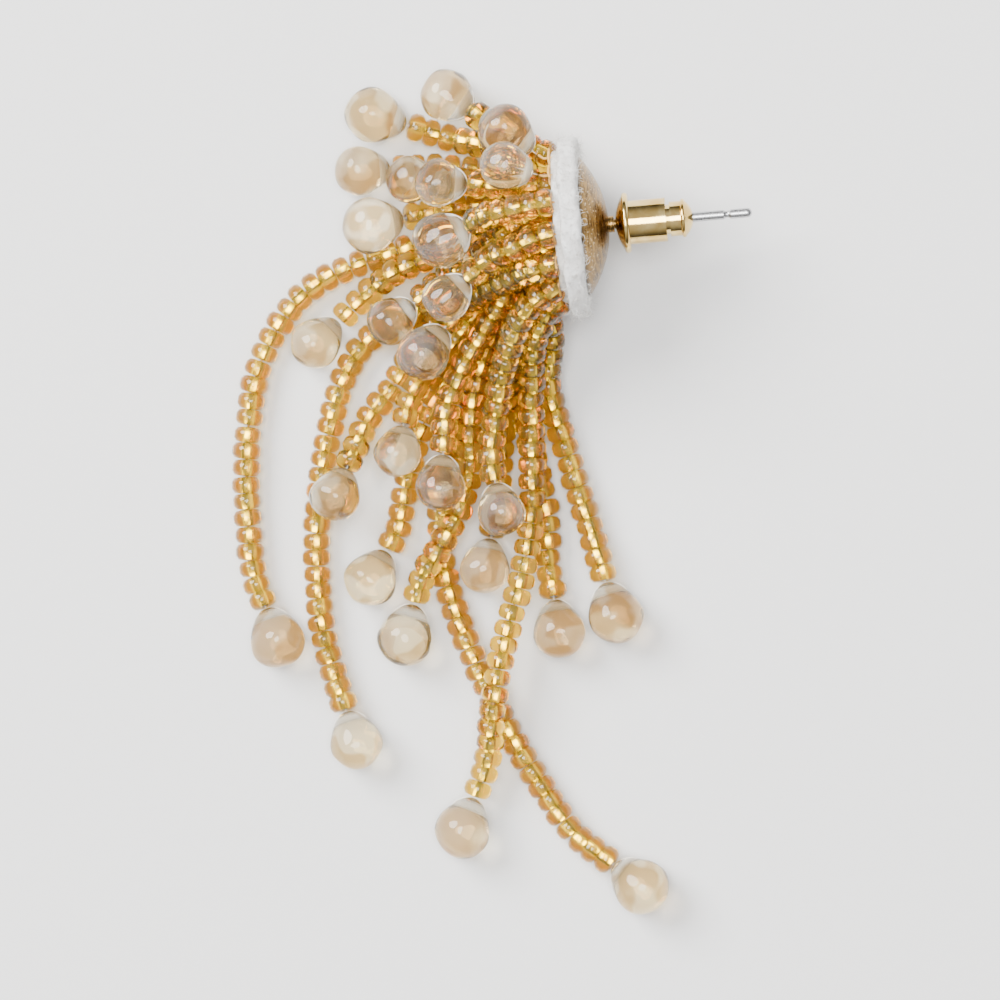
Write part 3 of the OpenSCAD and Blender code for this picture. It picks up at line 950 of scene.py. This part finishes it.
def tubeTree():
    tree, g, given = newTree("tubes", [
        ("Radius", "NodeSocketFloat", 1.0),
        ("Sides", "NodeSocketInt", 6),
        ("Material", "NodeSocketMaterial", None),
    ])
    curve = g.add("GeometryNodeMeshToCurve", {}, {"Mesh": given["Geometry"]})
    ring = g.add("GeometryNodeCurvePrimitiveCircle", {},
                 {"Resolution": given["Sides"], "Radius": given["Radius"]})
    tube = g.add("GeometryNodeCurveToMesh", {}, {"Curve": curve, "Profile Curve": ring, "Fill Caps": True})
    soft = g.add("GeometryNodeSetShadeSmooth", {}, {"Geometry": tube})
    real = g.add("GeometryNodeRealizeInstances", {}, {"Geometry": soft})
    done = g.add("GeometryNodeSetMaterial", {}, {"Geometry": real, "Material": given["Material"]})
    finishTree(g, done)
    return tree


# A loop from the last bead, down the drop's narrow end and through its hole, as points in mm
def loopPoints(f):
    shares = np.linspace(0, 1, thread["loopSteps"])
    side = dropRadius(shares * strandSizes["holeFromEnd"] / strandSizes["dropLength"]) * f["size"]
    side += thread["loopRadius"] * 0.3
    along = (shares - 1) * strandSizes["holeFromEnd"] * f["size"]
    right = [f["holeAt"] + s * f["holeWay"] + a * f["way"] for s, a in zip(side, along)]
    left = [f["holeAt"] - s * f["holeWay"] + a * f["way"] for s, a in zip(side, along)]
    return [f["end"] - beadLength / 4 * f["way"]] + right + left[::-1]


# Stitches round a root: short arches over the sewn layer, as points in mm
def stitchPoints(root, turn):
    reach = thread["stitchSpread"]
    out = np.array([0, math.cos(turn), math.sin(turn)])
    across = np.array([0, -out[2], out[1]])
    middle = root + across * thread["stitchShift"]
    return [middle + out * reach * math.cos(a) + np.array([-thread["stitchHeight"] * math.sin(a), 0, 0])
            for a in np.linspace(0, math.pi, 7)]


def makeStrings(name, chains, radius, material):  # a tube along each chain of points, closed or open
    points, edges = [], []
    for row, closed in chains:
        start = len(points)
        points += [fromPost(p) for p in row]
        edges += [(start + k, start + k + 1) for k in range(len(row) - 1)]
        if closed:
            edges.append((start + len(row) - 1, start))
    mesh = bpy.data.meshes.new(name)
    mesh.from_pydata(points, edges, [])
    strings = grown(name, newObject(name + "Host", mesh), tubeTree(), {
        "Radius": radius * mm, "Sides": thread["sides"], "Material": material})
    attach(strings, "earring")
    print(name, len(strings.data.polygons), "faces")


def makeThread():
    rows = [([f["points"][0]] + list(row) + [f["end"] - f["way"] * beadLength / 3], False)
            for f, row in zip(facts, beadRows)]
    rng = random.Random(thread["seed"])
    for ring, slot, *_ in strands:
        for k in range(thread["stitches"]):
            turn = math.radians(360 * k / thread["stitches"])
            turn += rng.uniform(-thread["stitchTurn"], thread["stitchTurn"])
            rows.append((stitchPoints(rootAt(ring, slot, sewnFront), turn), False))
    makeStrings("thread", rows, thread["radius"],
                threadMaterial("sewingThread", rgb(0.68, 0.34, 0.07), rgb(0.8, 0.47, 0.13)))
    makeStrings("drop_loops", [(loopPoints(f), True) for f in facts], thread["loopRadius"],
                threadMaterial("paleThread", rgb(0.93, 0.88, 0.78), rgb(0.97, 0.94, 0.87)))


sewnLayer = {
    "inset": 1.0,  # mm from the felt's edge
    "overlap": 0.25,  # mm that it reaches into the felt
    "edge": 0.225,
    "sides": 64,
    "waviness": 0.06,
    "waveScale": 1.7,
}


def makeSewnLayer():
    bm = bmesh.new()
    thickness = strandSizes["sewnThickness"] + sewnLayer["overlap"]
    lathe(bm, discProfile(padRadius / mm - sewnLayer["inset"], thickness, sewnLayer["edge"]),
          sewnLayer["sides"])
    for vert in bm.verts:
        vert.co += noise.noise_vector(vert.co * sewnLayer["waveScale"]) * sewnLayer["waviness"]
    bm.transform(alongPost(sewnFront) @ Matrix.Scale(mm, 4))
    layer = newObject("sewn_layer", meshFrom(bm, "sewn_layer"))
    layer.data.materials.append(bpy.data.materials["whiteFelt"])  # the felt's own
    smoothShade(layer.data)
    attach(layer, "earring")


makeThread()
makeSewnLayer()


# Metal

metal = {
    "rim": 0.22,  # mm of painted shade, a dark line on the cup behind its rim where it meets the felt
    "neckEnd": 3.1,  # mm from the felt's back, where the steel pin begins
    "cupDark": (0.09, 0.048, 0.013),
    "cupLight": (0.4, 0.24, 0.075),
    "cupPatch": (0.32, 0.2, 0.08),
    "cupSparkle": (1.0, 0.8, 0.5),
    "cupRimShade": (0.12, 0.075, 0.03),
    "steel": (0.54, 0.54, 0.55),
    "clutchDeep": (0.72, 0.48, 0.15),
    "clutchLight": (0.88, 0.66, 0.28),
}


def studMetal():
    material, g = newMaterial("brushedGold")
    place = objectPlace(g)
    x = g.add("ShaderNodeSeparateXYZ", {}, {"Vector": place}, out="X")
    stretched = g.add("ShaderNodeVectorMath", {"operation": "MULTIPLY"},
                      {0: place, 1: (9.0, 1.2, 1.2)})
    streaks = cloud(g, stretched, 900.0, 5.0, 0.7)
    sparkle = cloud(g, place, 5200.0, 2.0, 0.6)
    tone = cloud(g, place, 260.0, 2.0)
    gold = g.mix(g.ramp(streaks, 0.35, 0.7), rgb(*metal["cupDark"]), rgb(*metal["cupLight"]))
    gold = g.mix(g.ramp(tone, 0.4, 0.7) * 0.4, gold, rgb(*metal["cupPatch"]))
    gold = g.mix(g.ramp(sparkle, 0.6, 0.7) * 0.7, gold, rgb(*metal["cupSparkle"]))
    # Painted shade: the cup is darkened next to the felt, where the two meet
    rimShadeEnds = post.x + (strandSizes["glue"] + metal["rim"]) * mm
    gold = g.mix(1 - g.ramp(x, rimShadeEnds - 0.12 * mm, rimShadeEnds), gold, rgb(*metal["cupRimShade"]))
    pinAt = post.x + metal["neckEnd"] * mm
    isPin = g.ramp(x, pinAt - 0.1 * mm, pinAt + 0.1 * mm)
    surface = g.add("ShaderNodeBsdfPrincipled", {}, {
        "Base Color": g.mix(isPin, gold, rgb(*metal["steel"])),
        "Metallic": 1.0,
        "Roughness": g.ramp(streaks, 0.3, 0.8) * 0.2 + 0.24,
        "Normal": bump(g, (streaks + sparkle) * (1 - isPin * 0.9), 0.5, 0.04 * mm),
    })
    finishMaterial(g, surface)
    return material


def clutchMetal():
    material, g = newMaterial("polishedGold")
    place = objectPlace(g)
    smear = cloud(g, place, 900.0, 3.0)
    turned = g.add("ShaderNodeVectorMath", {"operation": "MULTIPLY"}, {0: place, 1: (8.0, 0.8, 0.8)})
    rings = cloud(g, turned, 260.0, 3.0)
    surface = g.add("ShaderNodeBsdfPrincipled", {}, {
        "Base Color": g.mix(g.ramp(smear, 0.35, 0.7), rgb(*metal["clutchDeep"]),
                            rgb(*metal["clutchLight"])),
        "Metallic": 1.0,
        "Roughness": g.ramp(smear, 0.3, 0.8) * 0.08 + 0.09,
        "Normal": bump(g, rings, 0.3, 0.06 * mm),
    })
    finishMaterial(g, surface)
    return material


def dressMetal():
    for name, material in (("stud_back", studMetal()), ("clutch", clutchMetal())):
        data = nodes[name].data
        data.materials.clear()
        data.materials.append(material)


dressMetal()
print("metal dressed")
